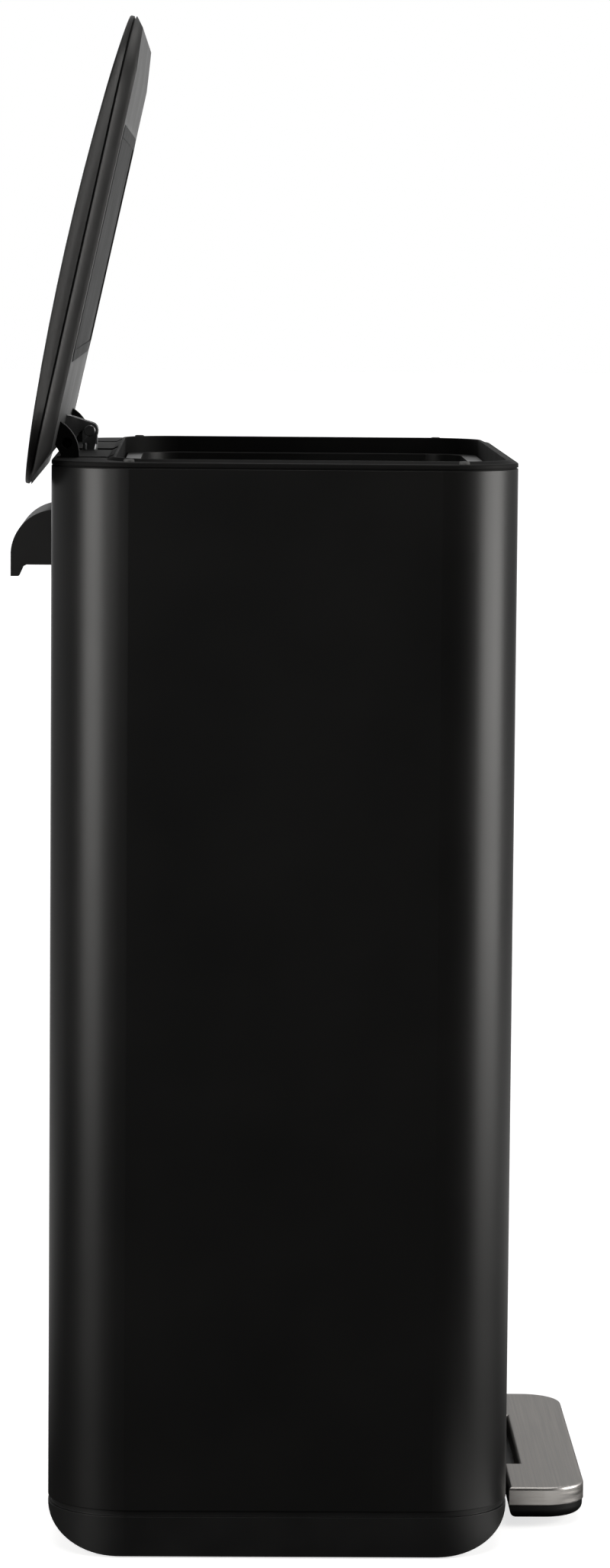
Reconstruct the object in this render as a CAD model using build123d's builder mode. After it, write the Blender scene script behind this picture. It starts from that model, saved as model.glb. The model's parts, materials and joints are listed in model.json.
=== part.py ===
"""Kitchen pedal trash can: steel body on a plastic base, hinged lid, wide foot pedal and push rod.

Millimetres. The front with the pedal faces -Y, the hinge and the carry handle are at +Y, +Z is up.
The origin is on the floor, under the middle of the whole can with its pedal and handle; while modelling, y is
counted from the middle of the body. The rest pose has the pedal pressed and the lid open.
"""
import os
from math import atan2, cos, hypot, radians, sin

from build123d import *

os.makedirs("parts", exist_ok=True)

# ---------------------------------------------------------------- driving dimensions
body_width = 400.0
body_depth = 262.0
body_corner = 44.0
steel_wall = 0.8
steel_top = 614.7
steel_foot = 27.3  # lower edge of the steel wrap
hem_width = 4.0  # the steel is rolled inwards at its lower edge
collar_edge = steel_top + 3.5  # top of the collar's outer band
rim_height = collar_edge + 1.6  # top of the collar's inner lip

joint_gap = 0.3  # between parts that move past each other
fit_gap = 0.2  # between parts that only lie beside each other
running_gap = 0.05  # radial, shaft in a bore it turns in
seat_gap = 0.02  # radial, shaft held in its bore
through = 5.0  # how far a cutting solid runs past the wall it cuts

plastic_wall = 2.5
front_face = -body_depth / 2
rear_face = body_depth / 2


def shrink(inset):
    """Width, depth and corner radius of the body outline moved inwards by inset."""
    return body_width - 2 * inset, body_depth - 2 * inset, body_corner - inset


pedal_tip = front_face - 48.5
handle_out = rear_face + 27.0
origin_shift = Location((0, -(pedal_tip + handle_out) / 2, 0))


def export(part, name):
    """Move one finished sub-part to the common origin, label it and write its STEP file."""
    part.part = part.part.moved(origin_shift)
    part.part.label = name
    export_step(part.part, f"parts/{name}.step")


# ---------------------------------------------------------------- hinge and lid frame of reference
open_angle = 77.5
hinge_inset = 7.5  # from the rear face
hinge_drop = 3.7  # below the steel's top
hinge_y = rear_face - hinge_inset
hinge_z = steel_top - hinge_drop
open_cos = cos(radians(open_angle))
open_sin = sin(radians(open_angle))
hinge_point = (0, hinge_y, hinge_z)
# Local frame of the lid: x across, y towards the lid's rear edge, z out of its top. The lid stands open in it.
lid_plane = Plane(origin=hinge_point, x_dir=(1, 0, 0), z_dir=(0, open_sin, open_cos))
lid_side = Plane(origin=hinge_point, x_dir=(0, open_cos, -open_sin), z_dir=(1, 0, 0))

lid_front = front_face - 1.5 - hinge_y
lid_rear = rear_face + 3.5 - hinge_y
lid_depth = lid_rear - lid_front
lid_middle = (lid_rear + lid_front) / 2
lid_width = body_width
lid_corner = body_corner + 2.0
lid_seam = 18.0  # where the steel cover meets the plastic frame
lid_bottom = 9.3  # underside of the frame
plug_inset = 15.0
plug_bottom = 8.8  # face of the inner panel
lid_pocket_top = 12.8
plug_front = lid_front + 60.0
plug_rear = lid_rear - 72.0
plug_middle = (plug_front + plug_rear) / 2
plug_depth = plug_rear - plug_front
plug_width = lid_width - 2 * plug_inset
plug_corner = 12.0

# ---------------------------------------------------------------- crank pin, rod and pedal lever
pin_radius = 2.0
pin_top = 18.2  # the pin's height above the hinge axis with the lid open
pin_low = -6.0  # and with the lid closed
rod_travel = pin_top - pin_low

axle_y = -20.0
axle_z = 22.0
axle_radius = 3.0
rod_radius = 2.5
rod_inset = 17.7  # from the rear face
rod_y = rear_face - rod_inset
rod_arm = rod_y - axle_y
rod_rise = rod_travel / 2  # the rod's foot stands this far above the axle at rest
rod_foot_z = axle_z + rod_rise
lever_arm = hypot(rod_arm, rod_rise)
lever_angle = atan2(rod_rise, rod_arm)  # it swings by this much to either side of level


def pin_in_lid(share):
    """Place of the crank pin in the lid's own frame when the lid has closed by this share of its swing."""
    lever = lever_angle * (1 - 2 * share)
    y = axle_y + lever_arm * cos(lever) - hinge_y
    z = pin_top + lever_arm * sin(lever) - rod_rise
    still_open = radians(open_angle * (1 - share))
    return y * cos(still_open) - z * sin(still_open), y * sin(still_open) + z * cos(still_open)


# ---------------------------------------------------------------- base
base_floor = 58.0
floor_thickness = 3.0
base_bottom = 1.0
skirt_top = 23.8
neck_inset = 2.0
upper_inset = 4.5
toe_length = 40.0  # the base curves up to the front and to the rear in a quarter ellipse
toe_height = skirt_top - base_bottom
toe_wall = 3.0
arm_x = 89.0  # the pedal's two side arms
arm_thickness = 2.5
slot_width = 18.0
slot_low = 9.0
slot_high = 49.0
bezel_wall = 1.8
bezel_depth = 22.0
boss_x = 109.0
boss_thickness = 10.0
foot_x = body_width / 2 - 40.0
foot_y = body_depth / 2 - toe_length - 11.0
foot_radius = 8.0
foot_height = 4.0
lever_room = 7.5  # free space behind the rod's foot



def toe_profile(inset, foot):
    """Sketch of the base seen from the side, moved inwards by inset, with its flat part at height foot."""
    toe = body_depth / 2 - toe_length
    reach = body_depth / 2 - inset
    rise = toe_height - inset
    with BuildSketch() as profile:
        with BuildLine():
            front = EllipticalCenterArc((-toe, skirt_top), reach - toe, rise, start_angle=180.0, arc_size=90.0)
            rear = EllipticalCenterArc((toe, skirt_top), reach - toe, rise, start_angle=270.0, arc_size=90.0)
            Polyline(front @ 1, (-toe, foot), (toe, foot), rear @ 0) if inset else Line(front @ 1, rear @ 0)
            Line(front @ 0, rear @ 1)
        make_face()
    return profile.sketch


with BuildPart() as base_cavity:
    # room under the base, with a wall of even thickness along the toes
    with BuildSketch(Plane.XY.offset(-through)):
        RectangleRounded(*shrink(upper_inset + plastic_wall))
    extrude(amount=through + skirt_top)
    with BuildSketch(Plane.YZ.offset(-body_width)):
        add(toe_profile(toe_wall, -through))
    extrude(amount=2 * body_width, mode=Mode.INTERSECT)

with BuildPart() as base_tub:
    # skirt that shows under the steel, with its curved toes
    with BuildSketch(Plane.XY.offset(base_bottom)):
        RectangleRounded(*shrink(0))
    extrude(amount=skirt_top - base_bottom)
    with BuildSketch(Plane.YZ.offset(-body_width)):
        add(toe_profile(0, base_bottom))
    extrude(amount=2 * body_width, mode=Mode.INTERSECT)
    # shadow neck, then the wall that stands inside the steel
    with BuildSketch(Plane.XY.offset(skirt_top)):
        RectangleRounded(*shrink(neck_inset))
    extrude(amount=steel_foot - skirt_top)
    with BuildSketch(Plane.XY.offset(steel_foot)):
        RectangleRounded(*shrink(upper_inset))
    extrude(amount=base_floor - steel_foot)
    # open underside
    add(base_cavity.part, mode=Mode.SUBTRACT)
    with BuildSketch(Plane.XY.offset(skirt_top)):
        RectangleRounded(*shrink(upper_inset + plastic_wall))
    extrude(amount=base_floor - floor_thickness - skirt_top, mode=Mode.SUBTRACT)
    # stiffening ribs under the floor, above the sweep of the lever
    rib_depth = 9.0
    rib_pitch_x = 62.0
    rib_pitch_y = 80.0
    rib_thickness = 2.0
    rib_reach_x = body_width / 2 - upper_inset - 1.0
    rib_reach_y = body_depth / 2 - upper_inset - 1.0
    with BuildSketch(Plane.XY.offset(base_floor - floor_thickness - rib_depth)):
        with GridLocations(rib_pitch_x, 0, 6, 1):
            Rectangle(rib_thickness, 2 * rib_reach_y)
        with GridLocations(0, rib_pitch_y, 1, 3):
            Rectangle(2 * rib_reach_x, rib_thickness)
    extrude(amount=rib_depth)
    # bearing blocks for the pedal axle
    with BuildSketch(Plane.XY.offset(axle_z - 8.0)):
        with Locations((boss_x, axle_y), (-boss_x, axle_y)):
            Rectangle(boss_thickness, 18.0)
    extrude(amount=base_floor - floor_thickness - axle_z + 8.0)
    with BuildSketch(Plane.YZ.offset(-boss_x - boss_thickness)):
        with Locations((axle_y, axle_z)):
            Circle(axle_radius + seat_gap)
    extrude(amount=2 * (boss_x + boss_thickness), mode=Mode.SUBTRACT)
    # posts for the feet
    with BuildSketch(Plane.XY.offset(base_bottom)):
        with GridLocations(2 * foot_x, 2 * foot_y, 2, 2):
            Circle(foot_radius + plastic_wall)
    extrude(amount=base_floor - floor_thickness - base_bottom)
    with BuildSketch(Plane.XY.offset(base_bottom)):
        with GridLocations(2 * foot_x, 2 * foot_y, 2, 2):
            Circle(foot_radius + fit_gap / 2)
    extrude(amount=foot_height - base_bottom, mode=Mode.SUBTRACT)
    # slots for the pedal arms, with room for the bezels
    with BuildSketch(Plane.XZ.offset(-front_face + through)):
        with Locations((arm_x, (slot_low + slot_high) / 2), (-arm_x, (slot_low + slot_high) / 2)):
            Rectangle(slot_width + 2 * bezel_wall, slot_high - slot_low + 2 * bezel_wall)
    extrude(amount=-(through + bezel_depth + 1.0), mode=Mode.SUBTRACT)
    # passage for the push rod and room for its foot
    with BuildSketch(Plane.XY.offset(base_floor - floor_thickness - rib_depth)):
        with Locations((2.0, rod_y)):
            RectangleRounded(18.0, 14.0, 3.0)
    extrude(amount=rib_depth + floor_thickness, mode=Mode.SUBTRACT)
    # room under the rear lip for the end of the lever
    with BuildSketch(Plane.XY.offset(-through)):
        with Locations((0, axle_y + (rod_arm + lever_room) / 2)):
            Rectangle(34.0, rod_arm + lever_room)
    extrude(amount=base_floor - floor_thickness + through, mode=Mode.SUBTRACT)
export(base_tub, "base_tub")

with BuildPart() as rubber_feet:
    with BuildSketch():
        with GridLocations(2 * foot_x, 2 * foot_y, 2, 2):
            Circle(foot_radius)
    extrude(amount=foot_height)
    fillet(rubber_feet.edges().group_by(Axis.Z)[0], 0.8)
export(rubber_feet, "rubber_feet")

# ---------------------------------------------------------------- steel body wrap
handle_width = 104.0
handle_screw_x = 40.0
handle_screw_z = steel_top - 47.2
screw_radius = 2.0
guide_heights = (190.0, 470.0)
rivet_x = 15.0
rivet_radius = 1.6
damper_x = 32.0
damper_y = rear_face - 19.0
damper_low = 150.0
damper_high = 250.0
saddle_heights = (165.0, 235.0)
saddle_rivet_x = damper_x + 14.0

with BuildPart() as outer_shell:
    with BuildSketch(Plane.XY.offset(steel_foot)):
        RectangleRounded(*shrink(0))
        RectangleRounded(*shrink(steel_wall), mode=Mode.SUBTRACT)
    extrude(amount=steel_top - steel_foot)
    # rolled hem that stands on the base
    with BuildSketch(Plane.XY.offset(steel_foot)):
        RectangleRounded(*shrink(0.1))
        RectangleRounded(*shrink(hem_width), mode=Mode.SUBTRACT)
    extrude(amount=1.0)
    # pedal slots
    with BuildSketch(Plane.XZ.offset(-front_face + through)):
        with Locations((arm_x, slot_high / 2), (-arm_x, slot_high / 2)):
            Rectangle(slot_width + 2 * bezel_wall, slot_high + 2 * bezel_wall)
    extrude(amount=-3 * through, mode=Mode.SUBTRACT)
    # holes in the rear wall for the handle screws and the rivets
    with BuildSketch(Plane.XZ.offset(-rear_face - through)):
        with Locations((handle_screw_x, handle_screw_z), (-handle_screw_x, handle_screw_z)):
            Circle(screw_radius + seat_gap)
        for height in guide_heights:
            with Locations((rivet_x, height), (-rivet_x, height)):
                Circle(rivet_radius + seat_gap)
        for height in saddle_heights:
            with Locations((saddle_rivet_x, height)):
                Circle(rivet_radius + seat_gap)
    extrude(amount=3 * through, mode=Mode.SUBTRACT)
export(outer_shell, "outer_shell")

# ---------------------------------------------------------------- rim collar with the hinge ears
opening_side = 12.0  # from the body outline to the can's opening
hinge_land = 36.0  # from the can's opening to the rear face
opening_rear = rear_face - hinge_land
opening_front = front_face + 7.0
ledge_top = steel_top - 8.7
ledge_width = 7.0
collar_foot = ledge_top - 21.0
shadow_line = 1.0  # dark line between the steel and the collar
hinge_x = 125.0
arm_width = 12.0
ear_thickness = 4.0
hinge_pin_radius = 2.0
barrel_radius = 5.0
slot_front = hinge_y - 26.7
slot_rear = hinge_y + barrel_radius + 0.8
crank_slot = 25.0
opening_width = body_width - 2 * opening_side
opening_depth = opening_rear - opening_front
opening_mid = (opening_rear + opening_front) / 2
opening_corner = body_corner - opening_side
skirt_inset = steel_wall + joint_gap
bumper_radius = 3.0
bumper_x = body_width / 2 - 7.0
bumper_seat = collar_edge - 1.0
bumper_top = hinge_z + lid_bottom - joint_gap
bumper_spots = [(x, y) for x in (-bumper_x, bumper_x) for y in (front_face + 32.0, opening_rear - 8.0)]

with BuildPart() as rim_collar:
    # outer band over the edge of the steel
    with BuildSketch(Plane.XY.offset(steel_top + shadow_line)):
        RectangleRounded(*shrink(0))
    extrude(amount=collar_edge - steel_top - shadow_line)
    fillet(rim_collar.faces().sort_by(Axis.Z)[-1].edges(), 0.8)
    # bevelled lip round the opening
    with BuildSketch(Plane.XY.offset(collar_edge)):
        with Locations((0, opening_mid)):
            RectangleRounded(opening_width + 10.0, opening_depth + 10.0, opening_corner + 5.0)
    extrude(amount=rim_height - collar_edge, taper=66.0)
    # skirt inside the steel
    with BuildSketch(Plane.XY.offset(collar_foot)):
        RectangleRounded(*shrink(skirt_inset))
        RectangleRounded(*shrink(skirt_inset + 2.0), mode=Mode.SUBTRACT)
    extrude(amount=steel_top + shadow_line - collar_foot)
    # wall down to the ledge that carries the bucket
    with BuildSketch(Plane.XY.offset(ledge_top - 3.0)):
        with Locations((0, opening_mid)):
            RectangleRounded(opening_width + 5.0, opening_depth + 5.0, opening_corner + 2.5)
    extrude(amount=steel_top + shadow_line - ledge_top + 3.0)
    with BuildSketch(Plane.XY.offset(ledge_top)):
        with Locations((0, opening_mid)):
            RectangleRounded(opening_width, opening_depth, opening_corner)
    extrude(amount=rim_height - ledge_top + through, mode=Mode.SUBTRACT)
    with BuildSketch(Plane.XY.offset(ledge_top - through)):
        with Locations((0, opening_mid)):
            RectangleRounded(
                opening_width - 2 * ledge_width,
                opening_depth - 2 * ledge_width,
                opening_corner - ledge_width,
            )
    extrude(amount=2 * through, mode=Mode.SUBTRACT)
    # hinge ears under the rear land, outside each arm
    for side in (-1, 1):
        for edge in (-1, 1):
            ear_x = side * hinge_x + edge * (arm_width / 2 + joint_gap + ear_thickness / 2)
            with BuildSketch(Plane.YZ.offset(ear_x - ear_thickness / 2)):
                with Locations((hinge_y - 0.1, hinge_z)):
                    Circle(barrel_radius + 1.2)
                with Locations((hinge_y - 0.1, hinge_z + 2.5)):
                    Rectangle(2 * barrel_radius + 2.4, 5.0)
            extrude(amount=ear_thickness)
    # slots for the arms and for the crank
    with BuildSketch(Plane.XY.offset(collar_foot - through)):
        for x_mid, width in (
            (-hinge_x, arm_width + 2 * joint_gap),
            (hinge_x, arm_width + 2 * joint_gap),
            (0, crank_slot),
        ):
            with Locations((x_mid, (slot_front + slot_rear) / 2)):
                Rectangle(width, slot_rear - slot_front)
    extrude(amount=rim_height - collar_foot + 2 * through, mode=Mode.SUBTRACT)
    # bores for the hinge pins
    with BuildSketch(Plane.YZ.offset(-hinge_x - arm_width)):
        with Locations((hinge_y, hinge_z)):
            Circle(hinge_pin_radius + seat_gap)
    extrude(amount=2 * (hinge_x + arm_width), mode=Mode.SUBTRACT)
    # seats for the bumpers
    with BuildSketch(Plane.XY.offset(bumper_seat)):
        with Locations(*bumper_spots):
            Circle(bumper_radius + seat_gap)
    extrude(amount=through, mode=Mode.SUBTRACT)
export(rim_collar, "rim_collar")

with BuildPart() as hinge_pins:
    pin_length = arm_width + 2 * joint_gap + 2 * ear_thickness
    for side in (-1, 1):
        with BuildSketch(Plane.YZ.offset(side * hinge_x - pin_length / 2)):
            with Locations((hinge_y, hinge_z)):
                Circle(hinge_pin_radius)
        extrude(amount=pin_length)
    chamfer(hinge_pins.edges().filter_by(GeomType.CIRCLE), 0.3)
export(hinge_pins, "hinge_pins")

with BuildPart() as lid_bumpers:
    with BuildSketch(Plane.XY.offset(bumper_seat)):
        with Locations(*bumper_spots):
            Circle(bumper_radius)
    extrude(amount=bumper_top - bumper_seat)
    fillet(lid_bumpers.faces().group_by(Axis.Z)[-1].edges(), 1.0)
export(lid_bumpers, "lid_bumpers")

# ---------------------------------------------------------------- lift-out bucket
bucket_wall = 2.2
bucket_top = ledge_top + 4.0
bucket_foot = base_floor + 2.5
bucket_gap = 1.5
finger_hole_length = 80.0
finger_hole_height = 24.0
finger_hole_drop = 32.0
bucket_top_width = opening_width - 2 * (ledge_width + bucket_gap)
bucket_top_depth = opening_depth - 2 * (ledge_width + bucket_gap)
bucket_taper = 22.0  # the bucket is this much narrower at its foot
bucket_corner = opening_corner - ledge_width - bucket_gap

with BuildPart() as inner_bucket:
    with BuildSketch(Plane.XY.offset(bucket_foot)):
        with Locations((0, opening_mid)):
            RectangleRounded(bucket_top_width - bucket_taper, bucket_top_depth - bucket_taper, bucket_corner)
    with BuildSketch(Plane.XY.offset(bucket_top)):
        with Locations((0, opening_mid)):
            RectangleRounded(bucket_top_width, bucket_top_depth, bucket_corner)
    loft()
    fillet(inner_bucket.faces().sort_by(Axis.Z)[0].edges(), 6.0)
    # flange that rests on the collar's ledge
    with BuildSketch(Plane.XY.offset(ledge_top + fit_gap)):
        with Locations((0, opening_mid)):
            RectangleRounded(
                opening_width - 2 * bucket_gap, opening_depth - 2 * bucket_gap, opening_corner - bucket_gap
            )
    extrude(amount=bucket_top - ledge_top - fit_gap)
    with BuildSketch(Plane.XY.offset(bucket_foot + bucket_wall)):
        with Locations((0, opening_mid)):
            RectangleRounded(
                bucket_top_width - bucket_taper - 2 * bucket_wall,
                bucket_top_depth - bucket_taper - 2 * bucket_wall,
                bucket_corner - bucket_wall,
            )
    with BuildSketch(Plane.XY.offset(bucket_top)):
        with Locations((0, opening_mid)):
            RectangleRounded(
                bucket_top_width - 2 * bucket_wall,
                bucket_top_depth - 2 * bucket_wall,
                bucket_corner - bucket_wall,
            )
    loft(mode=Mode.SUBTRACT)
    # finger holes for lifting it out
    with BuildSketch(Plane.YZ.offset(-body_width / 2)):
        with Locations((opening_mid, bucket_top - finger_hole_drop)):
            SlotOverall(finger_hole_length, finger_hole_height)
    extrude(amount=body_width, mode=Mode.SUBTRACT)
export(inner_bucket, "inner_bucket")

# ---------------------------------------------------------------- lid
cover_wall = 0.8
cover_edge = 2.2
cover_crown = 6.0
shadow_gap = 1.2

with BuildPart() as lid_cover:
    with BuildSketch(lid_plane.offset(lid_seam)):
        with Locations((0, lid_middle)):
            RectangleRounded(lid_width, lid_depth, lid_corner)
    extrude(amount=cover_edge + cover_crown + through)
    with BuildSketch(lid_side.offset(-lid_width)):
        with BuildLine():
            Polyline(
                (lid_front, lid_seam + cover_edge),
                (lid_front, lid_seam),
                (lid_rear, lid_seam),
                (lid_rear, lid_seam + cover_edge),
            )
            ThreePointArc(
                (lid_rear, lid_seam + cover_edge),
                (lid_middle, lid_seam + cover_edge + cover_crown),
                (lid_front, lid_seam + cover_edge),
            )
        make_face()
    extrude(amount=2 * lid_width, mode=Mode.INTERSECT)
    crown = lid_cover.faces().filter_by(GeomType.CYLINDER).sort_by(SortBy.AREA)[-1]
    fillet(crown.edges(), 1.0)
    underside = lid_cover.faces().filter_by(GeomType.PLANE).sort_by(SortBy.AREA)[-1]
    offset(amount=-cover_wall, openings=underside)
export(lid_cover, "lid_cover")

hollow_rear = -14.0
with BuildPart() as lid_frame:
    with BuildSketch(lid_plane.offset(lid_bottom)):
        with Locations((0, lid_middle)):
            RectangleRounded(lid_width, lid_depth, lid_corner)
    extrude(amount=lid_seam - lid_bottom)
    # undercut front edge, and the wedge at the tail that lets the lid swing down behind the body
    with BuildSketch(lid_side.offset(-lid_width)):
        with BuildLine():
            Polyline(
                (lid_front, lid_seam),
                (lid_front, lid_seam - 1.6),
                (lid_front + 6.0, lid_bottom + 2.3),
                (lid_front + 30.0, lid_bottom),
                (-12.0, lid_bottom),
                (-3.5, 12.2),
                (5.2, 16.6),
                (lid_rear, lid_seam - 1.2),
                (lid_rear, lid_seam),
                close=True,
            )
        make_face()
    extrude(amount=2 * lid_width, mode=Mode.INTERSECT)
    # shadow line under the steel cover
    with BuildSketch(lid_plane.offset(lid_seam - shadow_gap)):
        with Locations((0, lid_middle)):
            RectangleRounded(lid_width + through, lid_depth + through, lid_corner + through / 2)
            RectangleRounded(
                lid_width - 2 * shadow_gap,
                lid_depth - 2 * shadow_gap,
                lid_corner - shadow_gap,
                mode=Mode.SUBTRACT,
            )
    extrude(amount=shadow_gap + 1.0, mode=Mode.SUBTRACT)
    # plinth that the steel cover is snapped over
    with BuildSketch(lid_plane.offset(lid_seam)):
        with Locations((0, lid_middle)):
            RectangleRounded(
                lid_width - 2 * (cover_wall + seat_gap),
                lid_depth - 2 * (cover_wall + seat_gap),
                lid_corner - cover_wall,
            )
    extrude(amount=0.5)
    # pocket for the inner panel
    with BuildSketch(lid_plane.offset(lid_bottom)):
        with Locations((0, plug_middle)):
            RectangleRounded(plug_width + 2 * seat_gap, plug_depth + 2 * seat_gap, plug_corner)
    extrude(amount=lid_pocket_top - lid_bottom, mode=Mode.SUBTRACT)
    # hollow under the steel cover
    with BuildSketch(lid_plane.offset(lid_pocket_top + 1.5)):
        with Locations((0, (lid_front + 14.0 + hollow_rear) / 2)):
            RectangleRounded(lid_width - 2 * plug_inset, hollow_rear - lid_front - 14.0, lid_corner - plug_inset)
    extrude(amount=lid_seam, mode=Mode.SUBTRACT)
export(lid_frame, "lid_frame")

with BuildPart() as lid_inner_panel:
    with BuildSketch(lid_plane.offset(plug_bottom)):
        with Locations((0, plug_middle)):
            RectangleRounded(plug_width, plug_depth, plug_corner)
    extrude(amount=lid_pocket_top - plug_bottom)
    face = lid_inner_panel.faces().filter_by(GeomType.PLANE).sort_by(SortBy.AREA)[-2:]
    fillet(face.sort_by(Axis(hinge_point, lid_plane.z_dir))[0].edges(), 1.2)
    # hollow behind its face
    with BuildSketch(lid_plane.offset(plug_bottom + plastic_wall)):
        with Locations((0, plug_middle)):
            RectangleRounded(plug_width - 4 * plastic_wall, plug_depth - 4 * plastic_wall, plug_corner - 2 * plastic_wall)
    extrude(amount=lid_pocket_top, mode=Mode.SUBTRACT)
    # sunk centre field
    with BuildSketch(lid_plane.offset(plug_bottom)):
        with Locations((0, plug_middle)):
            RectangleRounded(plug_width - 14.0, plug_depth - 14.0, plug_corner - 7.0)
    extrude(amount=0.8, mode=Mode.SUBTRACT)
export(lid_inner_panel, "lid_inner_panel")

# ---------------------------------------------------------------- hinge arms and lifting crank
arm_front = -26.0
arm_rear = -12.5
with BuildPart() as hinge_arms:
    for side in (-1, 1):
        with BuildSketch(lid_side.offset(side * hinge_x - arm_width / 2)):
            with BuildLine():
                # cranked neck: it passes in front of the body's rear edge when the lid stands open
                Polyline(
                    (arm_front, lid_bottom), (arm_rear, lid_bottom), (-8.0, barrel_radius), (0, barrel_radius)
                )
                ThreePointArc((0, barrel_radius), (barrel_radius, 0), (0, -barrel_radius))
                ThreePointArc((0, -barrel_radius), (-17.5, -2.0), (arm_front, lid_bottom))
            make_face()
            Circle(hinge_pin_radius + running_gap, mode=Mode.SUBTRACT)
        extrude(amount=arm_width)
    # lightening recess in both sides of each arm
    for side in (-1, 1):
        for edge in (-1, 1):
            recess_x = side * hinge_x + edge * (arm_width / 2 - 1.5)
            with BuildSketch(lid_side.offset(recess_x - 1.5)):
                with Locations((-15.0, 3.0)):
                    Circle(3.0)
            extrude(amount=3.0, mode=Mode.SUBTRACT)
export(hinge_arms, "hinge_arms")

cheek_x = 5.5
cheek_thickness = 2.5
cheek_outer = cheek_x + cheek_thickness
crank_plate = 2.5
crank_rear = -10.0
crank_boss = 5.0
slot_steps = 8
with BuildPart() as lid_crank:
    for side in (-1, 1):
        with BuildSketch(lid_side.offset(side * (cheek_x + cheek_thickness / 2) - cheek_thickness / 2)):
            with Locations(pin_in_lid(0), pin_in_lid(1)):
                Circle(crank_boss)
            with Locations(((arm_front + crank_rear) / 2, lid_bottom - crank_plate / 2)):
                Rectangle(crank_rear - arm_front, crank_plate)
            make_hull()
        extrude(amount=cheek_thickness)
    # hooked slot that the pin slides along as the lid turns: it turns the rod's straight stroke into the swing
    for step in range(slot_steps):
        with BuildSketch(lid_side.offset(-cheek_outer)):
            with Locations(pin_in_lid(step / slot_steps), pin_in_lid((step + 1) / slot_steps)):
                Circle(pin_radius + joint_gap)
            make_hull()
        extrude(amount=2 * cheek_outer, mode=Mode.SUBTRACT)
    # plate that is screwed under the lid
    with BuildSketch(lid_plane.offset(lid_bottom - crank_plate)):
        with Locations((0, (arm_front + crank_rear) / 2)):
            Rectangle(2 * cheek_outer, crank_rear - arm_front)
    extrude(amount=crank_plate)
export(lid_crank, "lid_crank")

pin_rest_z = hinge_z + pin_top
pin_head = 1.2
with BuildPart() as crank_pin:
    with BuildSketch(Plane.YZ.offset(-cheek_outer - joint_gap)):
        with Locations((rod_y, pin_rest_z)):
            Circle(pin_radius)
    extrude(amount=2 * (cheek_outer + joint_gap))
    # riveted heads outside the cheeks
    for start in (cheek_outer + joint_gap, -cheek_outer - joint_gap - pin_head):
        with BuildSketch(Plane.YZ.offset(start)):
            with Locations((rod_y, pin_rest_z)):
                Circle(pin_radius + 1.3)
        extrude(amount=pin_head)
    fillet(crank_pin.faces().group_by(Axis.X)[0].edges(), 0.5)
    fillet(crank_pin.faces().group_by(Axis.X)[-1].edges(), 0.5)
export(crank_pin, "crank_pin")

# ---------------------------------------------------------------- push rod
eye_radius = 4.5
eye_thickness = 6.0
socket_radius = 4.5
socket_depth = 14.0
socket_cap = 2.0
rod_bend = 7.0
rod_leg = 15.0
rod_top = pin_rest_z - pin_radius - 6.0

with BuildPart() as push_rod:
    with BuildLine() as rod_path:
        leg = Line((rod_leg, rod_y, rod_foot_z), (rod_bend, rod_y, rod_foot_z))
        bend = TangentArc(leg @ 1, (0, rod_y, rod_foot_z + rod_bend), tangent=leg % 1)
        Line(bend @ 1, (0, rod_y, rod_top))
    with BuildSketch(Plane(origin=leg @ 0, z_dir=leg % 0)):
        Circle(rod_radius)
    sweep()
    # groove for the retaining clip
    with BuildSketch(Plane.YZ.offset(rod_leg - 2.2)):
        with Locations((rod_y, rod_foot_z)):
            Circle(rod_radius + 1.0)
            Circle(rod_radius - 0.5, mode=Mode.SUBTRACT)
    extrude(amount=1.1, mode=Mode.SUBTRACT)
export(push_rod, "push_rod")

with BuildPart() as rod_clip:
    with BuildSketch(Plane.YZ.offset(rod_leg - 2.15)):
        with Locations((rod_y, rod_foot_z)):
            Circle(rod_radius + 2.5)
            Circle(rod_radius - 0.5 + seat_gap, mode=Mode.SUBTRACT)
        with Locations((rod_y, rod_foot_z + rod_radius + 1.0)):
            Rectangle(2.6, 2 * rod_radius, mode=Mode.SUBTRACT)
    extrude(amount=1.0)
export(rod_clip, "rod_clip")

with BuildPart() as rod_head:
    # eye that holds the pin, between the crank's cheeks
    with BuildSketch(Plane.YZ.offset(-eye_thickness / 2)):
        with Locations((rod_y, pin_rest_z)):
            Circle(eye_radius)
        with Locations((rod_y, (pin_rest_z + rod_top) / 2)):
            Rectangle(2 * eye_radius, pin_rest_z - rod_top)
    extrude(amount=eye_thickness)
    # socket on the end of the rod
    with BuildSketch(Plane.XY.offset(rod_top - socket_depth)):
        with Locations((0, rod_y)):
            Circle(socket_radius)
    extrude(amount=socket_depth + socket_cap)
    with BuildSketch(Plane.XY.offset(rod_top - socket_depth)):
        with Locations((0, rod_y)):
            Circle(rod_radius + seat_gap)
    extrude(amount=socket_depth + seat_gap, mode=Mode.SUBTRACT)
    with BuildSketch(Plane.YZ.offset(-eye_thickness)):
        with Locations((rod_y, pin_rest_z)):
            Circle(pin_radius + seat_gap)
    extrude(amount=2 * eye_thickness, mode=Mode.SUBTRACT)
export(rod_head, "rod_head")

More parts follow.
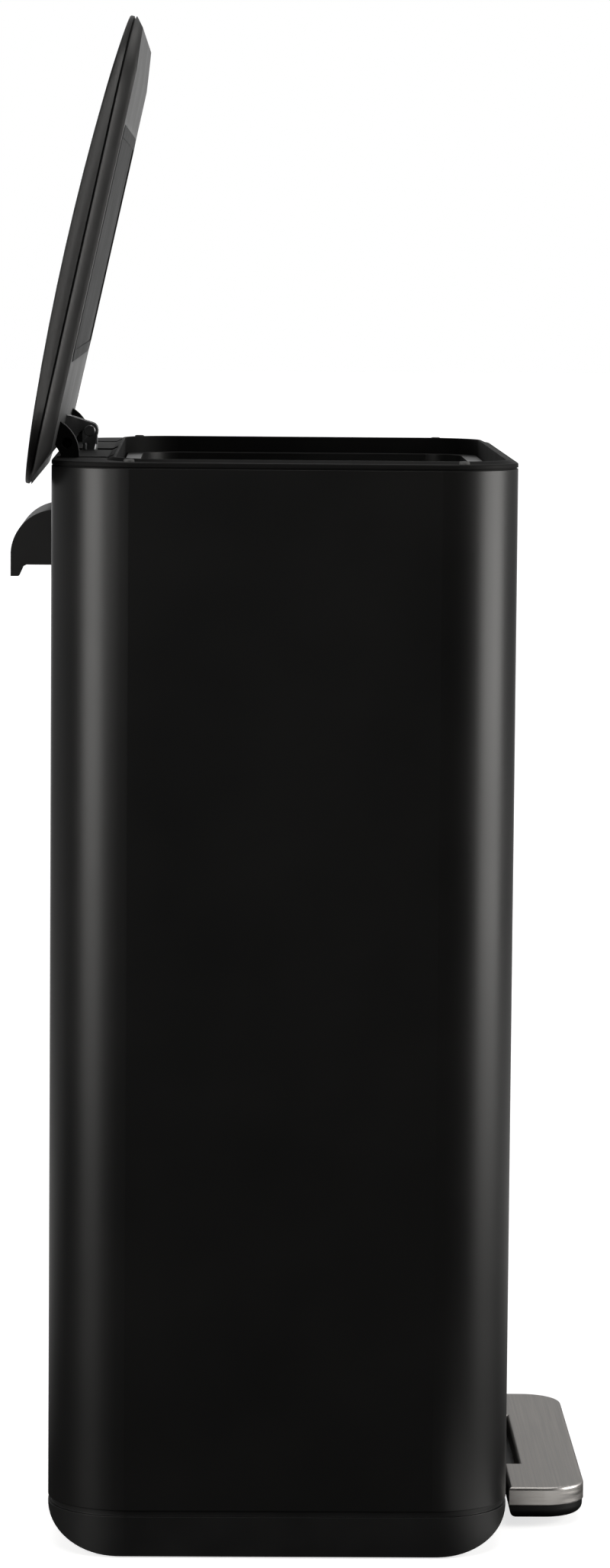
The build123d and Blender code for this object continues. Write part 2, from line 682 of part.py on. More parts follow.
guide_height = 12.0
inner_rear = rear_face - steel_wall
with BuildPart() as rod_guides:
    for height in guide_heights:
        with BuildSketch(Plane.XY.offset(height - guide_height / 2)):
            # foot against the rear wall, and the eye round the rod
            with Locations((0, inner_rear - 1.25)):
                Rectangle(2 * rivet_x + 10.0, 2.5)
            with Locations((0, (inner_rear + rod_y) / 2)):
                Rectangle(6.0, inner_rear - rod_y)
            with Locations((0, rod_y + 0.3)):
                Circle(rod_radius + 4.0)
            with Locations((0, rod_y + 0.3)):
                Circle(rod_radius + 1.2, mode=Mode.SUBTRACT)
        extrude(amount=guide_height)
    with BuildSketch(Plane.XZ.offset(-inner_rear)):
        for height in guide_heights:
            with Locations((rivet_x, height), (-rivet_x, height)):
                Circle(rivet_radius + seat_gap)
    extrude(amount=through, mode=Mode.SUBTRACT)
export(rod_guides, "rod_guides")

# ---------------------------------------------------------------- soft-close damper beside the rod
damper_radius = 8.0
damper_bore = 6.5
piston_radius = 2.0
piston_low = 212.0
piston_top = 330.0
saddle_height = 14.0
with BuildPart() as damper_cylinder:
    with BuildSketch(Plane.XY.offset(damper_low)):
        with Locations((damper_x, damper_y)):
            Circle(damper_radius)
    extrude(amount=damper_high - damper_low)
    fillet(damper_cylinder.edges().filter_by(GeomType.CIRCLE), 1.0)
    with BuildSketch(Plane.XY.offset(damper_low + plastic_wall)):
        with Locations((damper_x, damper_y)):
            Circle(damper_bore)
    extrude(amount=damper_high - damper_low - 2 * plastic_wall, mode=Mode.SUBTRACT)
    with BuildSketch(Plane.XY.offset(damper_high - through)):
        with Locations((damper_x, damper_y)):
            Circle(piston_radius + 1.0)
    extrude(amount=2 * through, mode=Mode.SUBTRACT)
export(damper_cylinder, "damper_cylinder")

with BuildPart() as damper_saddles:
    for height in saddle_heights:
        with BuildSketch(Plane.XY.offset(height - saddle_height / 2)):
            with Locations((damper_x, damper_y)):
                Circle(damper_radius + 1.5)
            with Locations((damper_x, (damper_y + inner_rear) / 2)):
                Rectangle(8.0, inner_rear - damper_y)
            with Locations((damper_x + 5.0, inner_rear - 1.25)):
                Rectangle(28.0, 2.5)
            with Locations((damper_x, damper_y)):
                Circle(damper_radius + seat_gap, mode=Mode.SUBTRACT)
            with Locations((damper_x, damper_y - damper_radius)):
                Rectangle(9.0, damper_radius, mode=Mode.SUBTRACT)
        extrude(amount=saddle_height)
    with BuildSketch(Plane.XZ.offset(-inner_rear)):
        for height in saddle_heights:
            with Locations((saddle_rivet_x, height)):
                Circle(rivet_radius + seat_gap)
    extrude(amount=through, mode=Mode.SUBTRACT)
export(damper_saddles, "damper_saddles")

with BuildPart() as damper_piston:
    with BuildSketch(Plane.XY.offset(piston_low)):
        with Locations((damper_x, damper_y)):
            Circle(damper_bore - 1.0)
    extrude(amount=5.0)
    with BuildSketch(Plane.XY.offset(piston_low)):
        with Locations((damper_x, damper_y)):
            Circle(piston_radius)
    extrude(amount=piston_top - piston_low)
export(damper_piston, "damper_piston")

with BuildPart() as damper_link:
    with BuildSketch(Plane.XY.offset(piston_top - 8.0)):
        with Locations((0, rod_y)):
            Circle(rod_radius + 3.0)
        with Locations((damper_x, damper_y)):
            Circle(rod_radius + 3.0)
        make_hull()
        with Locations((0, rod_y)):
            Circle(rod_radius + seat_gap, mode=Mode.SUBTRACT)
        with Locations((damper_x, damper_y)):
            Circle(piston_radius + seat_gap, mode=Mode.SUBTRACT)
    extrude(amount=8.0)
export(damper_link, "damper_link")

with BuildPart() as wall_rivets:
    rivet_spots = [(x, height) for height in guide_heights for x in (-rivet_x, rivet_x)]
    rivet_spots += [(saddle_rivet_x, height) for height in saddle_heights]
    with BuildSketch(Plane.XZ.offset(-rear_face)):
        with Locations(*rivet_spots):
            Circle(rivet_radius)
    extrude(amount=steel_wall + 2.5)
    with BuildSketch(Plane.XZ.offset(-rear_face)):
        with Locations(*rivet_spots):
            Circle(2 * rivet_radius)
    extrude(amount=-0.9)
    fillet(wall_rivets.edges().group_by(Axis.Y)[-1], 0.6)
export(wall_rivets, "wall_rivets")

# ---------------------------------------------------------------- pedal
pedal_half = 125.0
pedal_back = front_face - 3.8
notch_depth = 9.2
pedal_notch = pedal_back - notch_depth
notch_half = 64.0
pedal_top = 23.5
flange_foot = 13.0
moulding_foot = 5.0
tread_wall = 1.2
pedal_corner = 24.0
plate_low = -11.0
plate_high = -3.0
base_notch = 0.5  # the moulding fills the tread's notch


def pedal_outline(inset, notch_depth=notch_depth):
    """Sketch of the pedal seen from above, moved inwards by inset, with a notch in the middle of its rear edge."""
    half = pedal_half - inset
    front = pedal_tip + inset
    back = pedal_back - inset
    notch = back - notch_depth
    corner = min(pedal_corner - inset, back - front - 2.0)
    with BuildSketch() as outline:
        with BuildLine():
            run = Polyline(
                (half, front + corner),
                (half, back),
                (notch_half + inset, back),
                (notch_half + inset, notch),
                (-notch_half - inset, notch),
                (-notch_half - inset, back),
                (-half, back),
                (-half, front + corner),
            )
            left = TangentArc(run @ 1, (-half + corner, front), tangent=(0, -1))
            edge = Line(left @ 1, (half - corner, front))
            TangentArc(edge @ 1, run @ 0, tangent=(1, 0))
        make_face()
    return outline.sketch


with BuildPart() as pedal_tread:
    with BuildSketch(Plane.XY.offset(flange_foot)):
        add(pedal_outline(0))
    extrude(amount=pedal_top - flange_foot)
    fillet(pedal_tread.faces().sort_by(Axis.Z)[-1].edges(), 2.0)
    with BuildSketch(Plane.XY.offset(flange_foot)):
        add(pedal_outline(tread_wall))
    extrude(amount=pedal_top - tread_wall - flange_foot, mode=Mode.SUBTRACT)
    # the rear flange is cut away round the lever's plates
    with BuildSketch(Plane.XZ.offset(-pedal_back - through)):
        with Locations((arm_x, axle_z + (plate_low + plate_high) / 2), (-arm_x, axle_z + (plate_low + plate_high) / 2)):
            Rectangle(arm_thickness + 2 * fit_gap, plate_high - plate_low + 2 * fit_gap)
    extrude(amount=2 * through, mode=Mode.SUBTRACT)
export(pedal_tread, "pedal_tread")

with BuildPart() as pedal_base:
    with BuildSketch(Plane.XY.offset(moulding_foot)):
        add(pedal_outline(0.6, base_notch))
    extrude(amount=flange_foot - moulding_foot - fit_gap)
    fillet(pedal_base.faces().sort_by(Axis.Z)[0].edges(), 5.0)
    with BuildSketch(Plane.XY.offset(flange_foot - fit_gap)):
        add(pedal_outline(tread_wall + 0.8))
    extrude(amount=pedal_top - tread_wall - flange_foot + fit_gap)
    # hollow underside
    with BuildSketch(Plane.XY.offset(moulding_foot)):
        add(pedal_outline(5.5))
    extrude(amount=axle_z + plate_high - moulding_foot, mode=Mode.SUBTRACT)
    # ribs across the hollow
    with BuildSketch(Plane.XY.offset(moulding_foot + 3.0)):
        with GridLocations(22.0, 0, 5, 1):
            with Locations((0, (pedal_tip + pedal_notch) / 2)):
                Rectangle(2.0, pedal_notch - pedal_tip - 8.0)
    extrude(amount=axle_z + plate_high - moulding_foot - 3.0)
    # the lever's plates enter from behind
    with BuildSketch(Plane.XZ.offset(-pedal_back - through)):
        with Locations((arm_x, axle_z + (plate_low + plate_high) / 2), (-arm_x, axle_z + (plate_low + plate_high) / 2)):
            Rectangle(arm_thickness + 2 * fit_gap, plate_high - plate_low + 2 * fit_gap)
    extrude(amount=3 * through, mode=Mode.SUBTRACT)
export(pedal_base, "pedal_base")

lever_nose = pedal_tip - axle_y + 9.5
lever_neck = front_face - axle_y - 1.0
lever_tail = 13.0
tab_width = 18.0
channel_x = 9.25
channel_height = 6.0
rear_boss = 5.5
bush_radius = 5.0
axle_side = Plane(origin=(0, axle_y, axle_z), x_dir=(0, 1, 0), z_dir=(1, 0, 0))
plate_top = 8.5  # top of the lever above the axle
with BuildPart() as pedal_lever:
    # two long side plates that leave through the slots
    for side in (-1, 1):
        with BuildSketch(axle_side.offset(side * arm_x - arm_thickness / 2)):
            with BuildLine():
                Polyline(
                    (lever_nose, plate_high),
                    (lever_neck, plate_high),
                    (-55.0, 3.0),
                    (-12.0, plate_top),
                    (lever_tail, plate_top),
                    (lever_tail, -5.0),
                    (0, -plate_top),
                    (-60.0, -9.0),
                    (lever_neck, plate_low),
                    (lever_nose, plate_low),
                    close=True,
                )
            make_face()
            Circle(bush_radius, mode=Mode.SUBTRACT)
        extrude(amount=arm_thickness)
    # bridge over the axle
    with BuildSketch(Plane.XY.offset(axle_z + plate_top - arm_thickness)):
        with Locations((0, axle_y + (lever_tail - 12.0) / 2)):
            Rectangle(2 * arm_x, lever_tail + 12.0)
    extrude(amount=arm_thickness)
    # rear channel towards the push rod
    for side in (-1, 1):
        with BuildSketch(axle_side.offset(side * channel_x - arm_thickness / 2)):
            with BuildLine():
                Polyline(
                    (-12.0, plate_top),
                    (lever_tail, plate_top),
                    (rod_arm, rod_rise + rear_boss),
                    (rod_arm, rod_rise - rear_boss),
                    (lever_tail, -5.0),
                    (-12.0, 3.0),
                    close=True,
                )
            make_face()
            with Locations((rod_arm, rod_rise)):
                Circle(rear_boss)
                Circle(rod_radius + running_gap, mode=Mode.SUBTRACT)
            Circle(axle_radius + 0.6, mode=Mode.SUBTRACT)
        extrude(amount=arm_thickness)
    web_end = rod_arm - 24.0
    web_slope = (rod_rise + rear_boss - plate_top) / (rod_arm - lever_tail)
    web_rise = plate_top + (web_end - lever_tail) * web_slope
    with BuildSketch(axle_side.offset(-channel_x)):
        with BuildLine():
            Polyline(
                (lever_tail - 1.0, plate_top),
                (lever_tail, plate_top),
                (web_end, web_rise),
                (web_end, web_rise - arm_thickness),
                (lever_tail - 1.0, plate_top - arm_thickness),
                close=True,
            )
        make_face()
    extrude(amount=2 * channel_x)
    # fixing tabs under the pedal
    tab_x = arm_x - tab_width / 2
    tab_y = axle_y + lever_nose + 12.0
    with BuildSketch(Plane.XY.offset(axle_z + plate_high - arm_thickness)):
        with Locations((tab_x, tab_y), (-tab_x, tab_y)):
            Rectangle(tab_width, 20.0)
        with Locations((tab_x - 2.0, tab_y), (-tab_x + 2.0, tab_y)):
            Circle(screw_radius + 0.1, mode=Mode.SUBTRACT)
    extrude(amount=arm_thickness)
export(pedal_lever, "pedal_lever")

with BuildPart() as pedal_screws:
    tab_under = axle_z + plate_high - arm_thickness
    with BuildSketch(Plane.XY.offset(tab_under - 2.2)):
        with Locations((tab_x - 2.0, tab_y), (-tab_x + 2.0, tab_y)):
            Circle(3.6)
    extrude(amount=2.2)
    fillet(pedal_screws.edges().group_by(Axis.Z)[0], 1.2)
    with BuildSketch(Plane.XY.offset(tab_under)):
        with Locations((tab_x - 2.0, tab_y), (-tab_x + 2.0, tab_y)):
            Circle(screw_radius)
    extrude(amount=arm_thickness)
export(pedal_screws, "pedal_screws")

axle_end = boss_x + boss_thickness / 2 + 4.0
clip_x = boss_x + boss_thickness / 2 + 0.3
with BuildPart() as pedal_axle:
    with BuildSketch(Plane.YZ.offset(-axle_end)):
        with Locations((axle_y, axle_z)):
            Circle(axle_radius)
    extrude(amount=2 * axle_end)
    chamfer(pedal_axle.edges().filter_by(GeomType.CIRCLE), 0.6)
    for start in (clip_x, -clip_x - 1.1):
        with BuildSketch(Plane.YZ.offset(start)):
            with Locations((axle_y, axle_z)):
                Circle(axle_radius + 1.0)
                Circle(axle_radius - 0.6, mode=Mode.SUBTRACT)
        extrude(amount=1.1, mode=Mode.SUBTRACT)
export(pedal_axle, "pedal_axle")

with BuildPart() as axle_clips:
    for start in (clip_x + 0.05, -clip_x - 1.05):
        with BuildSketch(Plane.YZ.offset(start)):
            with Locations((axle_y, axle_z)):
                Circle(2 * axle_radius)
                Circle(axle_radius - 0.6 + seat_gap, mode=Mode.SUBTRACT)
            with Locations((axle_y, axle_z - axle_radius)):
                Rectangle(3.4, 2 * axle_radius, mode=Mode.SUBTRACT)
        extrude(amount=1.0)
export(axle_clips, "axle_clips")

with BuildPart() as axle_bushes:
    bush_length = 9.0
    for side in (-1, 1):
        with BuildSketch(Plane.YZ.offset(side * arm_x - bush_length / 2)):
            with Locations((axle_y, axle_z)):
                Circle(bush_radius)
        extrude(amount=bush_length)
        with BuildSketch(Plane.YZ.offset(side * (arm_x - arm_thickness / 2 - 0.75) - 0.75)):
            with Locations((axle_y, axle_z)):
                Circle(bush_radius + 0.9)
        extrude(amount=1.5)
    with BuildSketch(Plane.YZ.offset(-axle_end)):
        with Locations((axle_y, axle_z)):
            Circle(axle_radius + running_gap)
    extrude(amount=2 * axle_end, mode=Mode.SUBTRACT)
export(axle_bushes, "axle_bushes")

with BuildPart() as slot_bezels:
    slot_mid = (slot_low + slot_high) / 2
    with BuildSketch(Plane.XZ.offset(-front_face)):
        with Locations((arm_x, slot_mid), (-arm_x, slot_mid)):
            Rectangle(slot_width + 2 * bezel_wall, slot_high - slot_low + 2 * bezel_wall)
            Rectangle(slot_width, slot_high - slot_low, mode=Mode.SUBTRACT)
    extrude(amount=-bezel_depth)
    with BuildSketch(Plane.XZ.offset(-front_face)):
        with Locations((arm_x, slot_mid), (-arm_x, slot_mid)):
            RectangleRounded(slot_width + 4 * bezel_wall, slot_high - slot_low + 4 * bezel_wall, 2.5)
            Rectangle(slot_width, slot_high - slot_low, mode=Mode.SUBTRACT)
    extrude(amount=1.0)
export(slot_bezels, "slot_bezels")

# ---------------------------------------------------------------- carry handle at the rear
handle_top = steel_top - 30.0
handle_bend = handle_top - 24.9
handle_lip = handle_top - 38.9
handle_under = handle_lip + 6.7
handle_wall = 3.0
with BuildPart() as rear_handle:
    with BuildSketch(Plane.YZ.offset(-handle_width / 2)):
        with BuildLine():
            Polyline((handle_out, handle_bend), (handle_out, handle_lip), (handle_out - 5.0, handle_lip))
            Polyline((handle_out - 5.0, handle_lip), (handle_out - 8.0, handle_under))
            Polyline((handle_out - 8.0, handle_under), (rear_face, handle_under), (rear_face, handle_top))
            ThreePointArc((rear_face, handle_top), (rear_face + 19.5, handle_top - 8.0), (handle_out, handle_bend))
        make_face()
    extrude(amount=handle_width)
    # finger pocket, open below
    with BuildSketch(Plane.YZ.offset(-handle_width / 2 + handle_wall)):
        with BuildLine():
            Polyline(
                (handle_out - handle_wall - 1.0, handle_bend),
                (handle_out - handle_wall - 1.0, handle_lip - through),
                (rear_face + handle_wall, handle_lip - through),
                (rear_face + handle_wall, handle_top - handle_wall - 1.0),
            )
            ThreePointArc(
                (rear_face + handle_wall, handle_top - handle_wall - 1.0),
                (rear_face + 17.0, handle_top - 11.0),
                (handle_out - handle_wall - 1.0, handle_bend),
            )
        make_face()
    extrude(amount=handle_width - 2 * handle_wall, mode=Mode.SUBTRACT)
    # screw posts
    with BuildSketch(Plane.XZ.offset(-rear_face)):
        with Locations((handle_screw_x, handle_screw_z), (-handle_screw_x, handle_screw_z)):
            Circle(screw_radius + 2.5)
    extrude(amount=-12.0)
    with BuildSketch(Plane.XZ.offset(-rear_face)):
        with Locations((handle_screw_x, handle_screw_z), (-handle_screw_x, handle_screw_z)):
            Circle(screw_radius + seat_gap)
    extrude(amount=-10.0, mode=Mode.SUBTRACT)
    fillet(rear_handle.edges().filter_by(Axis.X).sort_by(Axis.Z)[0:2], 1.5)
export(rear_handle, "rear_handle")

with BuildPart() as handle_screws:
    with BuildSketch(Plane.XZ.offset(-inner_rear)):
        with Locations((handle_screw_x, handle_screw_z), (-handle_screw_x, handle_screw_z)):
            Circle(3.8)
    extrude(amount=2.4)
    fillet(handle_screws.edges().group_by(Axis.Y)[0], 1.4)
    with BuildSketch(Plane.XZ.offset(-inner_rear)):
        with Locations((handle_screw_x, handle_screw_z), (-handle_screw_x, handle_screw_z)):
            Circle(screw_radius)
    extrude(amount=-10.0)
export(handle_screws, "handle_screws")
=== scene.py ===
"""Kitchen pedal trash can: materials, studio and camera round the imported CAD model. Metres, Z up."""
import json
import math

import bpy
from mathutils import Matrix, Vector


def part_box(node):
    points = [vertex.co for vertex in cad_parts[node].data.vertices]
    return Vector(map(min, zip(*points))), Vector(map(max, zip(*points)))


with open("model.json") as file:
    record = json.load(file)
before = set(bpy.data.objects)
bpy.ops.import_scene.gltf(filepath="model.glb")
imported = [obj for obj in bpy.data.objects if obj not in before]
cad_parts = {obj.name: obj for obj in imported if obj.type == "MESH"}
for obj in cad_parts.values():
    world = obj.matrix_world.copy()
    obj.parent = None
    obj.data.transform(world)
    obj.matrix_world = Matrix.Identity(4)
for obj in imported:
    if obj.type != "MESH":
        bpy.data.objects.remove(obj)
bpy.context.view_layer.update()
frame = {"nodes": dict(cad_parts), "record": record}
body_low, body_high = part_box("outer_shell")
body_middle = (body_low + body_high) / 2


# ---------------------------------------------------------------- material helpers
class Shader:
    """A Principled material with short calls for the nodes that feed it."""

    def __init__(self, name, **sockets):
        self.material = bpy.data.materials.new(name)
        self.material.use_nodes = True
        self.nodes = self.material.node_tree.nodes
        self.link = self.material.node_tree.links.new
        self.surface = self.nodes["Principled BSDF"]
        self.coords = self.nodes.new("ShaderNodeTexCoord")
        for socket, value in sockets.items():
            self.surface.inputs[socket.replace("_", " ")].default_value = value

    def noise(self, scale, stretch=(1, 1, 1), detail=3.0, roughness=0.55):
        """Noise in the part's own coordinates; scale is cells per metre."""
        mapping = self.nodes.new("ShaderNodeMapping")
        mapping.inputs["Scale"].default_value = stretch
        self.link(self.coords.outputs["Object"], mapping.inputs["Vector"])
        texture = self.nodes.new("ShaderNodeTexNoise")
        texture.inputs["Scale"].default_value = scale
        texture.inputs["Detail"].default_value = detail
        texture.inputs["Roughness"].default_value = roughness
        self.link(mapping.outputs["Vector"], texture.inputs["Vector"])
        return texture.outputs["Fac"]

    def spread(self, value, low, high, start=0.3, end=0.7):
        """Maps a noise value onto low..high."""
        node = self.nodes.new("ShaderNodeMapRange")
        node.inputs["From Min"].default_value = start
        node.inputs["From Max"].default_value = end
        node.inputs["To Min"].default_value = low
        node.inputs["To Max"].default_value = high
        self.link(value, node.inputs["Value"])
        return node.outputs["Result"]

    def mix(self, share, first, second):
        """Mixes two values, by the share of the second."""
        node = self.nodes.new("ShaderNodeMix")
        self.link(share, node.inputs[0])
        self.link(first, node.inputs[2])
        self.link(second, node.inputs[3])
        return node.outputs[0]

    def colour(self, value, dark, light, start=0.3, end=0.7):
        """Drives the base colour from dark to light."""
        ramp = self.nodes.new("ShaderNodeValToRGB")
        ramp.color_ramp.elements[0].position = start
        ramp.color_ramp.elements[1].position = end
        ramp.color_ramp.elements[0].color = (*dark, 1)
        ramp.color_ramp.elements[1].color = (*light, 1)
        self.link(value, ramp.inputs["Fac"])
        self.link(ramp.outputs["Color"], self.surface.inputs["Base Color"])

    def roughness(self, value, low, high):
        """Drives the roughness."""
        self.link(self.spread(value, low, high), self.surface.inputs["Roughness"])

    def bump(self, value, height, strength=1.0, edge=0.0005):
        """Raises the surface by up to height metres, and shades every edge as if rounded by edge metres."""
        rounding = self.nodes.new("ShaderNodeBevel")
        rounding.samples = 8
        rounding.inputs["Radius"].default_value = edge
        node = self.nodes.new("ShaderNodeBump")
        self.link(rounding.outputs["Normal"], node.inputs["Normal"])
        node.inputs["Strength"].default_value = strength
        node.inputs["Distance"].default_value = height
        self.link(value, node.inputs["Height"])
        self.link(node.outputs["Normal"], self.surface.inputs["Normal"])


def grey(level, warmth=0.0):
    """A neutral colour, a little warmer with warmth above 0."""
    return level * (1 + warmth), level, level * (1 - warmth)


# ---------------------------------------------------------------- materials, one for each slot of the record
def satin_black_steel(name, edge=0.0005):
    """Powder coat with a fine orange peel."""
    shader = Shader(name, Specular_IOR_Level=0.5)
    cloud = shader.noise(9.0)
    peel = shader.noise(1400.0, detail=2.0)
    shader.colour(cloud, grey(0.0050), grey(0.0068, 0.03))
    shader.roughness(cloud, 0.33, 0.37)
    shader.bump(peel, 0.00002, 0.25, edge)
    return shader.material


def moulded_black(name, level, rough, grain=1900.0, height=0.00005, edge=0.0005, specular=0.45):
    """Moulded plastic with a spark-eroded grain."""
    shader = Shader(name, Specular_IOR_Level=specular)
    cloud = shader.noise(26.0)
    texture = shader.noise(grain, detail=4.0, roughness=0.7)
    shader.colour(cloud, grey(level * 0.85), grey(level * 1.15))
    shader.roughness(cloud, rough - 0.04, rough + 0.04)
    shader.bump(texture, height, 0.5, edge)
    return shader.material


def brushed_stainless():
    """Brushed along the pedal on its top and level along its edges."""
    shader = Shader("brushed_stainless", Metallic=1.0, Specular_Tint=(*grey(0.3), 1))
    top = shader.noise(900.0, (0.012, 1.0, 1.0), detail=5.0)
    side = shader.noise(900.0, (0.05, 0.05, 1.0), detail=5.0)
    parts = shader.nodes.new("ShaderNodeSeparateXYZ")
    shader.link(shader.coords.outputs["Normal"], parts.inputs["Vector"])
    upward = shader.spread(parts.outputs["Z"], 0.0, 1.0, 0.6, 0.8)
    brushed = shader.mix(upward, side, top)
    shader.colour(brushed, grey(0.60, 0.03), grey(0.74, 0.04), 0.3, 0.7)
    shader.roughness(brushed, 0.30, 0.44)
    shader.bump(brushed, 0.00002, 0.35)
    return shader.material


def zinc_plate():
    """Bright plated steel with a faint clouding."""
    shader = Shader("zinc_plate", Metallic=1.0)
    cloud = shader.noise(120.0)
    shader.colour(cloud, grey(0.40, -0.02), grey(0.56, -0.01))
    shader.roughness(cloud, 0.28, 0.42)
    shader.bump(shader.noise(1500.0), 0.00001, 0.4)
    return shader.material


def nylon():
    """Natural nylon of the axle bushes."""
    shader = Shader("natural_nylon")
    cloud = shader.noise(90.0)
    shader.colour(cloud, grey(0.62, 0.05), grey(0.70, 0.04))
    shader.roughness(cloud, 0.38, 0.46)
    shader.bump(shader.noise(1200.0), 0.00002, 0.3)
    return shader.material


finishes = {
    "black_steel": satin_black_steel("satin_black_steel"),
    "black_plastic": moulded_black("grained_black_plastic", 0.0065, 0.48, specular=0.40),
    "bucket_plastic": moulded_black("smooth_black_plastic", 0.0080, 0.40, grain=700.0, height=0.00002),
    "white_plastic": nylon(),
    "black_rubber": moulded_black("black_rubber", 0.014, 0.72, grain=1200.0),
    "grey_rubber": moulded_black("grey_rubber", 0.10, 0.66, grain=1200.0),
    "brushed_stainless": brushed_stainless(),
    "zinc_steel": zinc_plate(),
}
# the lid's two outer pieces have large soft edges; its moulding is coloured much lighter than the base's black
# plastic, as painted light for the light its sides and underside catch, and its panel darker
dull_collar = moulded_black("dull_black_plastic", 0.0050, 0.62, specular=0.15)
own_finishes = {
    "lid_cover": satin_black_steel("satin_black_lid_steel", edge=0.008),
    "lid_inner_panel": moulded_black("dark_inner_panel", 0.006, 0.60, specular=0.35),
    # painted light: the moulding's black plastic gets a much lighter colour that stands in for the light
    # falling on it
    "lid_frame": moulded_black("grained_black_plastic_painted_light", 0.050, 0.46, edge=0.007),
    "rim_collar": dull_collar,
    "hinge_arms": dull_collar,
}
for part in frame["record"]["subparts"]:
    node = frame["nodes"][part["node"]]
    node.data.materials.clear()
    node.data.materials.append(own_finishes.get(part["node"], finishes[part["material_slot"]]))


# ---------------------------------------------------------------- studio
def map_range(nodes, link, value, start, end, low, high, interpolation="SMOOTHSTEP"):
    """Goes from low to high as value goes from start to end."""
    node = nodes.new("ShaderNodeMapRange")
    node.interpolation_type = interpolation
    node.inputs["From Min"].default_value = start
    node.inputs["From Max"].default_value = end
    node.inputs["To Min"].default_value = low
    node.inputs["To Max"].default_value = high
    link(value, node.inputs["Value"])
    return node.outputs["Result"]


def math_node(nodes, link, operation, first, second):
    """One sum on two values."""
    node = nodes.new("ShaderNodeMath")
    node.operation = operation
    link(first, node.inputs[0])
    link(second, node.inputs[1])
    return node.outputs[0]


# the sector behind the can that metal sees white, by the cosine of its angle from +X
white_sector = 0.90, 0.98
# the floor as other rays see it, from dull before the can to pale behind it, by X in metres
dull_span, dull_levels = (0.0, 0.6), (0.03, 0.7)
# the glow that camera rays see on the floor, up to the white of the world, by the distance in metres
glow_span, glow_levels = (0.5, 2.5), (0.72, 1.0)
# the world as other rays see it, by the X of their direction
world_span, world_levels = (-0.45, 0.75), (0.012, 0.4)


def shows_white(nodes, link, behind):
    """1 for camera rays, and for glossy and transmission rays as far as they run behind the can."""
    path = nodes.new("ShaderNodeLightPath")
    glossy, through = path.outputs["Is Glossy Ray"], path.outputs["Is Transmission Ray"]
    mirrored = math_node(nodes, link, "MAXIMUM", glossy, through)
    mirrored = math_node(nodes, link, "MULTIPLY", mirrored, behind)
    return math_node(nodes, link, "MAXIMUM", path.outputs["Is Camera Ray"], mirrored)


def pale_floor():
    """White floor that takes the can's shadow and fades into the backdrop.

    Other rays see it dull before the can.
    """
    material = bpy.data.materials.new("pale_floor")
    material.use_nodes = True
    nodes, link = material.node_tree.nodes, material.node_tree.links.new
    surface = nodes["Principled BSDF"]
    surface.inputs["Base Color"].default_value = (0.82, 0.82, 0.82, 1)
    surface.inputs["Roughness"].default_value = 0.9
    surface.inputs["Specular IOR Level"].default_value = 0.1
    dull = nodes.new("ShaderNodeBsdfDiffuse")
    place = nodes.new("ShaderNodeNewGeometry")
    parts = nodes.new("ShaderNodeSeparateXYZ")
    distance = nodes.new("ShaderNodeVectorMath")
    distance.operation = "LENGTH"
    glow = nodes.new("ShaderNodeEmission")
    total = nodes.new("ShaderNodeAddShader")
    choice = nodes.new("ShaderNodeMixShader")
    link(place.outputs["Position"], parts.inputs[0])
    link(map_range(nodes, link, parts.outputs["X"], *dull_span, *dull_levels, "LINEAR"), dull.inputs["Color"])
    link(place.outputs["Position"], distance.inputs[0])
    link(map_range(nodes, link, distance.outputs["Value"], *glow_span, *glow_levels), glow.inputs["Strength"])
    link(surface.outputs[0], total.inputs[0])
    link(glow.outputs[0], total.inputs[1])
    away = math_node(nodes, link, "DIVIDE", parts.outputs["X"], distance.outputs["Value"])
    behind = map_range(nodes, link, away, *white_sector, 0.0, 1.0)
    link(shows_white(nodes, link, behind), choice.inputs[0])
    link(dull.outputs[0], choice.inputs[1])
    link(total.outputs[0], choice.inputs[2])
    link(choice.outputs[0], nodes["Material Output"].inputs["Surface"])
    return material


floor_reach = 30.0
corners = [(x * floor_reach, y * floor_reach) for x, y in ((-1, -1), (1, -1), (1, 1), (-1, 1))]
floor_mesh = bpy.data.meshes.new("floor")
floor_mesh.from_pydata([(x, y, 0.0) for x, y in corners], [], [(0, 1, 2, 3)])
floor_mesh.materials.append(pale_floor())
floor = bpy.data.objects.new("floor", floor_mesh)
bpy.context.scene.collection.objects.link(floor)


def studio_world():
    """White behind the can and dim on the camera's side, so that the dark side wall stays dark."""
    world = bpy.data.worlds.new("studio")
    bpy.context.scene.world = world
    world.use_nodes = True
    nodes, link = world.node_tree.nodes, world.node_tree.links.new
    background = nodes["Background"]
    coords = nodes.new("ShaderNodeTexCoord")
    parts = nodes.new("ShaderNodeSeparateXYZ")
    link(coords.outputs["Generated"], parts.inputs["Vector"])
    dim = map_range(nodes, link, parts.outputs["X"], *world_span, *world_levels)
    white = shows_white(nodes, link, map_range(nodes, link, parts.outputs["X"], *white_sector, 0.0, 1.0))
    link(math_node(nodes, link, "MAXIMUM", white, dim), background.inputs["Strength"])
    background.inputs["Color"].default_value = (1, 1, 1, 1)


studio_world()
lamp_white = 1.0, 0.985, 0.96


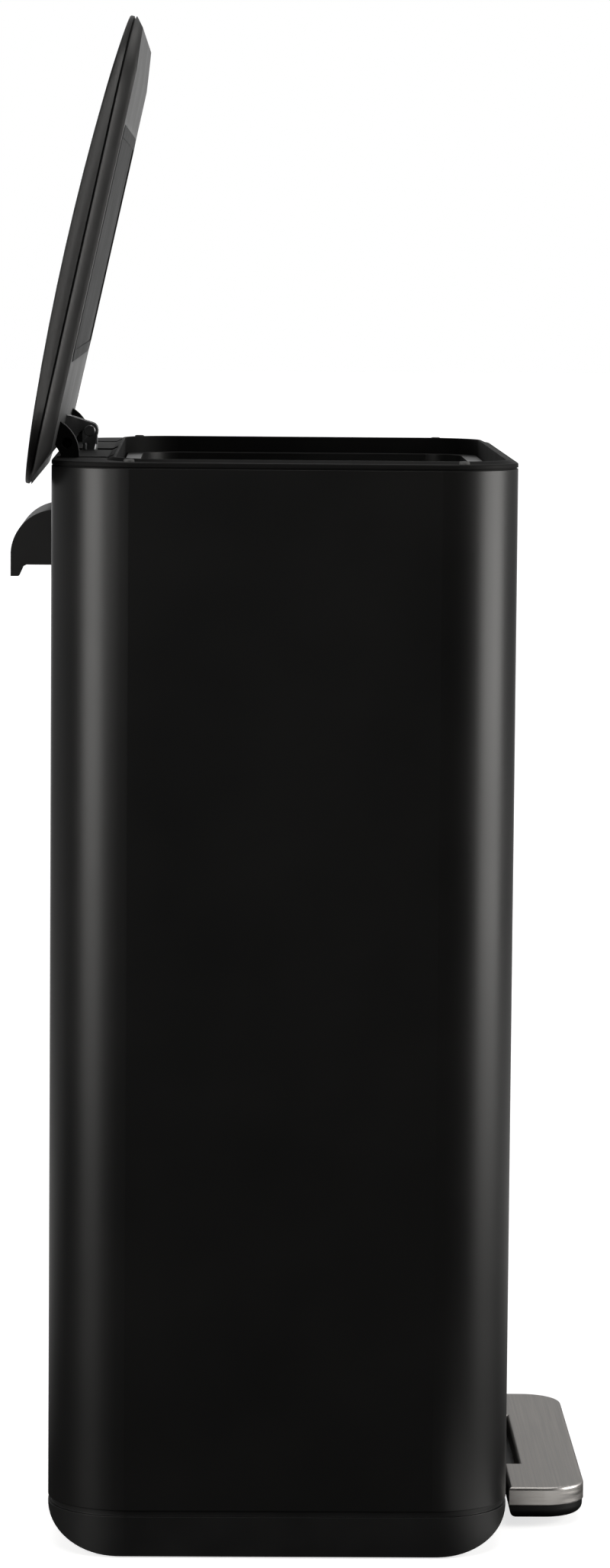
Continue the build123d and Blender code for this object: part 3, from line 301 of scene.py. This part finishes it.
def softbox(name, turn, distance, height, size, power, level=False):
    """Area light at turn degrees from the camera's side, positive towards the can's rear.

    It aims at the middle of the body, or straight ahead at its own height when level.
    """
    lamp = bpy.data.lights.new(name, "AREA")
    lamp.shape = "RECTANGLE"
    lamp.size, lamp.size_y = size
    lamp.energy = power
    lamp.color = lamp_white
    body = bpy.data.objects.new(name, lamp)
    angle = math.radians(turn)
    body.location = body_middle + Vector((-math.cos(angle) * distance, math.sin(angle) * distance, 0))
    body.location.z = height
    aim = Vector((body_middle.x, body_middle.y, height if level else body_middle.z))
    body.rotation_euler = (aim - body.location).to_track_quat("-Z", "Y").to_euler()
    bpy.context.scene.collection.objects.link(body)
    return body


# the two strips draw the rear corner's highlight and its soft edge, and wall_front draws the front corner's
softbox("strip_rear", turn=52, distance=2.3, height=0.9, size=(1.1, 1.6), power=27, level=True)
softbox("strip_soft", turn=24, distance=2.3, height=1.1, size=(0.5, 1.2), power=4.5, level=True)
softbox("wall_front", turn=-80, distance=2.2, height=0.85, size=(1.5, 1.7), power=38, level=True)
softbox("overhead", turn=0, distance=0.2, height=3.2, size=(2.4, 2.4), power=25)

# a card of light on the floor beside the pedal, for the side band of its tread
pedal_low, pedal_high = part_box("pedal_tread")
card_height = 0.001
card_offset = Vector((-0.14, -0.04))
card = softbox("floor_card", turn=0, distance=0.2, height=card_height, size=(0.22, 0.15), power=0.07)
card.location = (pedal_low.xy + card_offset).to_3d() + Vector((0, 0, card_height))
card.rotation_euler = (math.pi, 0, 0)  # faces up
card.visible_camera = False

# ---------------------------------------------------------------- camera
camera_data = bpy.data.cameras.new("camera")
camera_data.sensor_width = 36.0
camera_data.lens = 118.5
camera_data.clip_start = 0.1
camera_data.clip_end = 100.0
camera = bpy.data.objects.new("camera", camera_data)
bpy.context.scene.collection.objects.link(camera)
bpy.context.scene.camera = camera
pitch = math.radians(5.828)
roll = math.radians(0.479)
yaw = math.radians(-1.0)
forward = Vector((math.cos(pitch) * math.cos(yaw), math.cos(pitch) * math.sin(yaw), -math.sin(pitch)))
level_right = Vector((math.sin(yaw), -math.cos(yaw), 0.0))
level_up = level_right.cross(forward)
right = math.cos(roll) * level_right + math.sin(roll) * level_up
up = math.cos(roll) * level_up - math.sin(roll) * level_right
turn = Matrix((right, up, -forward)).transposed()
eye = Vector((-3.0576, body_middle.y + 0.0380, 0.7320))
camera.matrix_world = Matrix.Translation(eye) @ turn.to_4x4()

bpy.context.scene.view_settings.view_transform = "Standard"
